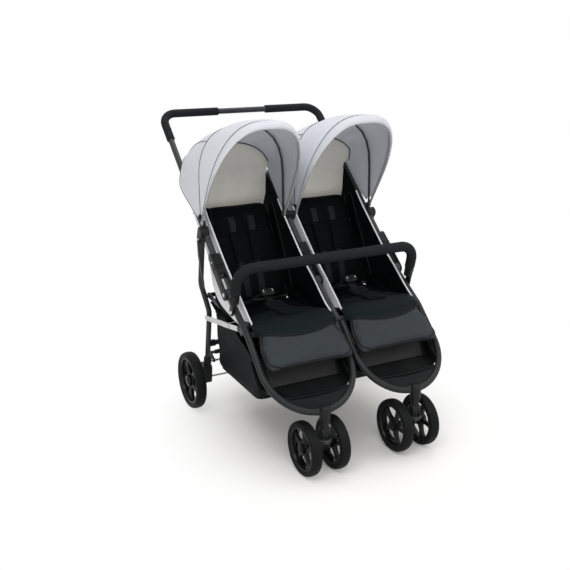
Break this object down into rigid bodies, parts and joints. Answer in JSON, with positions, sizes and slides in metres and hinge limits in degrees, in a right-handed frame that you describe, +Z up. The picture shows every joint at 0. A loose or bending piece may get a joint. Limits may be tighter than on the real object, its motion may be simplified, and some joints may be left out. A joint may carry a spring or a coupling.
{
  "type": "side-by-side double stroller",
  "caption": "Folding side-by-side stroller with two padded seats, separate canopies, bumper bar, basket and swivelling twin casters.",
  "frame": {"origin": "on the floor, under the middle of the stroller's bounding box", "axes": "+Z up, -Y the way the seats face, +X towards the seated child's left"},
  "size_m": [0.7566, 1.0204, 1.0621],
  "materials": {
    "frame_paint": "satin gunmetal paint on steel tube",
    "black_plastic": "moulded black nylon, satin",
    "bare_steel": "zinc plated steel",
    "grip_foam": "charcoal closed-cell foam",
    "tyre_rubber": "solid black tyre",
    "seat_cloth": "padded black woven cloth",
    "canopy_cloth": "light cool grey woven cloth",
    "basket_cloth": "black woven cloth",
    "webbing": "black nylon webbing"
  },
  "bodies": {
    "rear_frame": {"rear_leg_left": "frame_paint", "rear_leg_right": "frame_paint", "rear_cross_tube": "frame_paint", "rear_axle": "bare_steel", "wheel_bracket_left": "black_plastic", "wheel_bracket_right": "black_plastic", "basket": "basket_cloth", "basket_skirt": "basket_cloth", "seat_rear_frame": "frame_paint"},
    "brake": {"brake_bar": "bare_steel"},
    "handle_frame": {"handle_tube": "frame_paint", "handle_grip_left": "grip_foam", "handle_grip_right": "grip_foam", "upper_cross_tube": "frame_paint", "fold_joint_left": "black_plastic", "fold_joint_right": "black_plastic", "fold_joint_centre": "black_plastic", "leg_bracket_left": "black_plastic", "leg_bracket_right": "black_plastic", "canopy_left": "canopy_cloth", "canopy_right": "canopy_cloth"},
    "front_frame": {"front_hoop_left": "frame_paint", "front_hoop_right": "frame_paint", "front_cross_tube": "frame_paint", "caster_housing_left": "black_plastic", "caster_housing_right": "black_plastic", "footrest_left": "black_plastic", "footrest_right": "black_plastic", "seat_left": "seat_cloth", "seat_right": "seat_cloth", "harness_left": "webbing", "harness_right": "webbing"},
    "bumper": {"bumper_tube": "frame_paint", "bumper_foam": "grip_foam", "bumper_socket_left": "black_plastic", "bumper_socket_right": "black_plastic"},
    "side_brace_left": {"side_link_left": "bare_steel"},
    "back_left": {"backrest_left": "seat_cloth"},
    "front_bow_left": {"canopy_front_bow_left": "black_plastic"},
    "mid_bow_left": {"canopy_mid_bow_left": "black_plastic"},
    "leg_support_left": {"leg_rest_left": "seat_cloth"},
    "caster_left": {"caster_fork_left": "black_plastic"},
    "wheel_front_left_outer": {"front_wheel_left_outer_tyre": "tyre_rubber", "front_wheel_left_outer_rim": "black_plastic"},
    "wheel_front_left_inner": {"front_wheel_left_inner_tyre": "tyre_rubber", "front_wheel_left_inner_rim": "black_plastic"},
    "wheel_rear_left": {"rear_wheel_left_tyre": "tyre_rubber", "rear_wheel_left_rim": "black_plastic"},
    "side_brace_right": {"side_link_right": "bare_steel"},
    "back_right": {"backrest_right": "seat_cloth"},
    "front_bow_right": {"canopy_front_bow_right": "black_plastic"},
    "mid_bow_right": {"canopy_mid_bow_right": "black_plastic"},
    "leg_support_right": {"leg_rest_right": "seat_cloth"},
    "caster_right": {"caster_fork_right": "black_plastic"},
    "wheel_front_right_outer": {"front_wheel_right_outer_tyre": "tyre_rubber", "front_wheel_right_outer_rim": "black_plastic"},
    "wheel_front_right_inner": {"front_wheel_right_inner_tyre": "tyre_rubber", "front_wheel_right_inner_rim": "black_plastic"},
    "wheel_rear_right": {"rear_wheel_right_tyre": "tyre_rubber", "rear_wheel_right_rim": "black_plastic"}
  },
  "joints": [
    {"name": "frame_fold", "type": "hinge", "parent": "handle_frame", "child": "front_frame", "pos_m": [0, -0.095, 0.515], "axis": [1, 0, 0], "range_deg": [-120, 0], "deforming": ["basket_skirt"]},
    {"name": "leg_fold", "type": "hinge", "parent": "rear_frame", "child": "handle_frame", "pos_m": [0, 0.105, 0.655], "axis": [1, 0, 0], "range_deg": [0, 19.3]},
    {"name": "bumper_swing", "type": "hinge", "parent": "front_frame", "child": "bumper", "pos_m": [0, -0.152, 0.4735], "axis": [1, 0, 0], "range_deg": [0, 54.2]},
    {"name": "brake_press", "type": "hinge", "parent": "rear_frame", "child": "brake", "pos_m": [0, 0.226, 0.15], "axis": [-1, 0, 0], "range_deg": [0, 22]},
    {"name": "brace_fold_left", "type": "hinge", "parent": "rear_frame", "child": "side_brace_left", "pos_m": [-0.309, 0.152, 0.352], "axis": [1, 0, 0], "range_deg": [-28.5, 0]},
    {"name": "recline_left", "type": "hinge", "parent": "rear_frame", "child": "back_left", "pos_m": [-0.165, 0.046, 0.428], "axis": [-1, 0, 0], "range_deg": [0, 35]},
    {"name": "canopy_fold_left", "type": "hinge", "parent": "handle_frame", "child": "front_bow_left", "pos_m": [-0.1795, 0.098, 0.712], "axis": [-1, 0, 0], "range_deg": [0, 58], "deforming": ["canopy_left"]},
    {"name": "canopy_mid_fold_left", "type": "hinge", "parent": "handle_frame", "child": "mid_bow_left", "pos_m": [-0.1795, 0.098, 0.712], "axis": [-1, 0, 0], "range_deg": [0, 35]},
    {"name": "leg_rest_raise_left", "type": "hinge", "parent": "front_frame", "child": "leg_support_left", "pos_m": [-0.165, -0.24, 0.422], "axis": [-1, 0, 0], "range_deg": [0, 38]},
    {"name": "caster_swivel_left", "type": "hinge", "parent": "front_frame", "child": "caster_left", "pos_m": [-0.17, -0.4565, 0.165], "axis": [0, 0, 1], "continuous": true},
    {"name": "front_wheel_spin_left_outer", "type": "hinge", "parent": "caster_left", "child": "wheel_front_left_outer", "pos_m": [-0.221, -0.4213, 0.0885], "axis": [1, 0, 0], "continuous": true},
    {"name": "front_wheel_spin_left_inner", "type": "hinge", "parent": "caster_left", "child": "wheel_front_left_inner", "pos_m": [-0.119, -0.4213, 0.0885], "axis": [1, 0, 0], "continuous": true},
    {"name": "rear_wheel_spin_left", "type": "hinge", "parent": "rear_frame", "child": "wheel_rear_left", "pos_m": [-0.356, 0.192, 0.1047], "axis": [1, 0, 0], "continuous": true},
    {"name": "brace_fold_right", "type": "hinge", "parent": "rear_frame", "child": "side_brace_right", "pos_m": [0.309, 0.152, 0.352], "axis": [1, 0, 0], "range_deg": [-28.5, 0]},
    {"name": "recline_right", "type": "hinge", "parent": "rear_frame", "child": "back_right", "pos_m": [0.165, 0.046, 0.428], "axis": [-1, 0, 0], "range_deg": [0, 35]},
    {"name": "canopy_fold_right", "type": "hinge", "parent": "handle_frame", "child": "front_bow_right", "pos_m": [0.1795, 0.098, 0.712], "axis": [-1, 0, 0], "range_deg": [0, 58], "deforming": ["canopy_right"]},
    {"name": "canopy_mid_fold_right", "type": "hinge", "parent": "handle_frame", "child": "mid_bow_right", "pos_m": [0.1795, 0.098, 0.712], "axis": [-1, 0, 0], "range_deg": [0, 35]},
    {"name": "leg_rest_raise_right", "type": "hinge", "parent": "front_frame", "child": "leg_support_right", "pos_m": [0.165, -0.24, 0.422], "axis": [-1, 0, 0], "range_deg": [0, 38]},
    {"name": "caster_swivel_right", "type": "hinge", "parent": "front_frame", "child": "caster_right", "pos_m": [0.17, -0.4565, 0.165], "axis": [0, 0, 1], "continuous": true},
    {"name": "front_wheel_spin_right_outer", "type": "hinge", "parent": "caster_right", "child": "wheel_front_right_outer", "pos_m": [0.221, -0.4213, 0.0885], "axis": [1, 0, 0], "continuous": true},
    {"name": "front_wheel_spin_right_inner", "type": "hinge", "parent": "caster_right", "child": "wheel_front_right_inner", "pos_m": [0.119, -0.4213, 0.0885], "axis": [1, 0, 0], "continuous": true},
    {"name": "rear_wheel_spin_right", "type": "hinge", "parent": "rear_frame", "child": "wheel_rear_right", "pos_m": [0.356, 0.192, 0.1047], "axis": [1, 0, 0], "continuous": true}
  ],
  "couplings": [
    {"joint": "leg_fold", "follows": "frame_fold", "ratio": -0.16},
    {"joint": "bumper_swing", "follows": "frame_fold", "ratio": -0.451},
    {"joint": "brace_fold_left", "follows": "frame_fold", "ratio": 0.2368},
    {"joint": "canopy_mid_fold_left", "follows": "canopy_fold_left", "ratio": 0.6},
    {"joint": "brace_fold_right", "follows": "frame_fold", "ratio": 0.2368},
    {"joint": "canopy_mid_fold_right", "follows": "canopy_fold_right", "ratio": 0.6}
  ]
}
